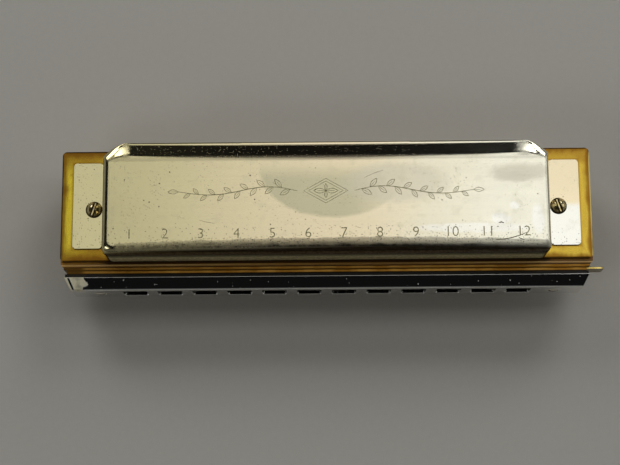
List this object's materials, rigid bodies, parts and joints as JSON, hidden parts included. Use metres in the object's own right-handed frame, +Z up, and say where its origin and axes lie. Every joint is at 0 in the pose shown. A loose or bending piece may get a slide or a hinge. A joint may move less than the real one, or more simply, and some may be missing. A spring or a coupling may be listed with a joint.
{
  "type": "harmonica",
  "caption": "Slide chromatic harmonica: wooden comb, brass reed plates, open-backed nickel covers, and a sprung slide with a bare tang behind a chromed mouthpiece.",
  "frame": {"origin": "middle of the bottom cover's flat panel, on the surface that the harmonica lies on", "axes": "+X along the holes towards the slide's tang, -Y towards the player's mouth, +Z up"},
  "size_m": [0.144, 0.0383, 0.028],
  "materials": {
    "comb_wood": "reddish brown varnished wood, darker along its edges",
    "plate_brass": "tarnished brass with browned edges and blotches",
    "reed_brass": "plain filed brass",
    "rivet_brass": "plain brass",
    "valve_film": "thin translucent film",
    "cover_nickel": "worn satin nickel plate with pits and fine scratches",
    "bolt_brass": "dark tarnished brass, brighter on the edges",
    "channel_brass": "browned brass",
    "slide_brass": "bright polished brass",
    "spring_steel": "drawn wire",
    "mouthpiece_chrome": "polished chrome plate",
    "screw_chrome": "worn plate"
  },
  "bodies": {
    "body": {"comb": "comb_wood", "top_reed_plate": "plate_brass", "bottom_reed_plate": "plate_brass", "top_draw_reeds": "reed_brass", "top_blow_reeds": "reed_brass", "bottom_draw_reeds": "reed_brass", "bottom_blow_reeds": "reed_brass", "top_reed_rivets": "rivet_brass", "bottom_reed_rivets": "rivet_brass", "top_plate_nails": "rivet_brass", "bottom_plate_nails": "rivet_brass", "top_outer_valves": "valve_film", "top_inner_valves": "valve_film", "bottom_outer_valves": "valve_film", "bottom_inner_valves": "valve_film", "top_cover": "cover_nickel", "bottom_cover": "cover_nickel", "cover_bolts": "bolt_brass", "cover_nuts": "bolt_brass", "slide_back_plate": "channel_brass", "slide_channel": "channel_brass", "slide_spring": "spring_steel", "mouthpiece": "mouthpiece_chrome", "mouthpiece_screws": "screw_chrome"},
    "slide": {"slide": "slide_brass"}
  },
  "joints": [
    {"name": "slide_press", "type": "slide", "parent": "body", "child": "slide", "axis": [-1, 0, 0], "range_m": [0, 0.00462], "stiffness_N_per_m": 200, "springref_m": -0.001, "deforming": ["slide_spring"]}
  ]
}
